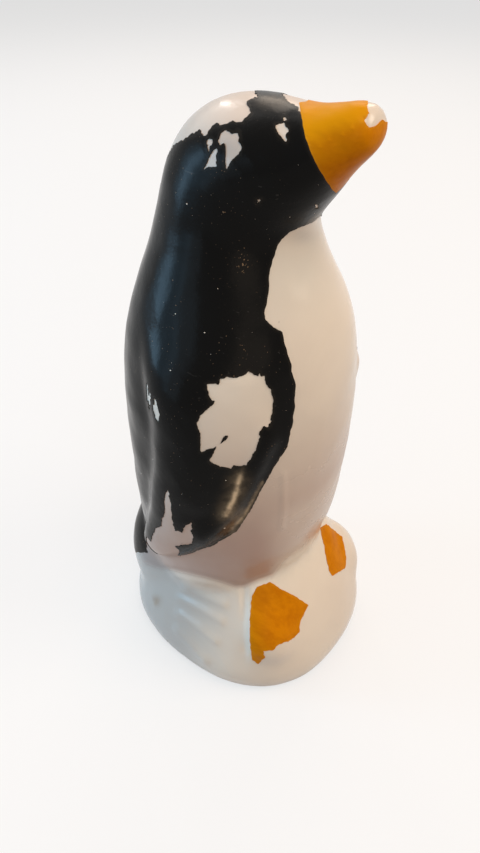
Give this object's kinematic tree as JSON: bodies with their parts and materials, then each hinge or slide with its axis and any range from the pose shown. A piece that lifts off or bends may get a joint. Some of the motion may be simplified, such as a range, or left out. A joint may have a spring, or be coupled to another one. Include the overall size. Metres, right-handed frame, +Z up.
{
  "type": "penguin figurine",
  "caption": "Hollow glazed earthenware penguin on a rounded mound, with flaking black and orange cold paint; stands free on a flat foot.",
  "frame": {"origin": "centre of the flat foot, on the surface that the figurine stands on", "axes": "+Z up, -Y the way the bird faces, -X the bird's right side"},
  "size_m": [0.0613, 0.0658, 0.144],
  "materials": {
    "biscuit": "unglazed, matt",
    "glaze": "glossy warm white glaze",
    "black_paint": "glossy black enamel, flaking",
    "orange_paint": "glossy orange enamel, flaking"
  },
  "bodies": {
    "root": {"biscuit_body": "biscuit", "white_glaze": "glaze", "black_coat": "black_paint", "black_flakes": "black_paint", "beak_coat": "orange_paint", "right_foot_coat": "orange_paint", "left_foot_coat": "orange_paint"}
  },
  "joints": []
}
